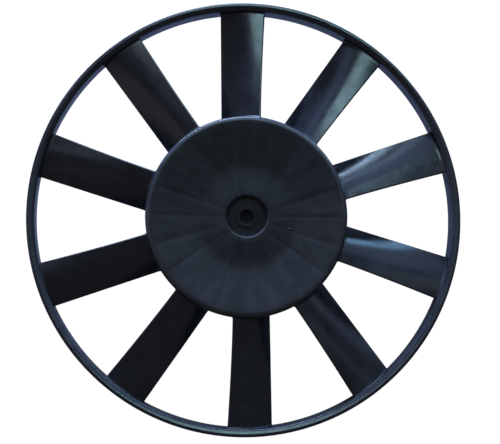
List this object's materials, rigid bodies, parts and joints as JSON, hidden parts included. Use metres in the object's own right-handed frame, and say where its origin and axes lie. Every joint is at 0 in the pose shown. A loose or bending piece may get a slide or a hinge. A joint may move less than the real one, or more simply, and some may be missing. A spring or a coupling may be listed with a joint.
{
  "type": "axial fan impeller",
  "caption": "Ringed axial fan impeller: twisted blades run from a dished hub cap to a lipped outer ring, moulded in one piece in black plastic.",
  "frame": {"origin": "on the shaft axis, at the plane of the hub's rear rim", "axes": "+Z along the shaft axis, out of the front face; +X and +Y are right and up in the picture"},
  "size_m": [0.305, 0.305, 0.026],
  "materials": {
    "black_plastic": "semi-gloss, as moulded, with faint sink lines over the ribs"
  },
  "bodies": {
    "root": {"impeller": "black_plastic"}
  },
  "joints": []
}
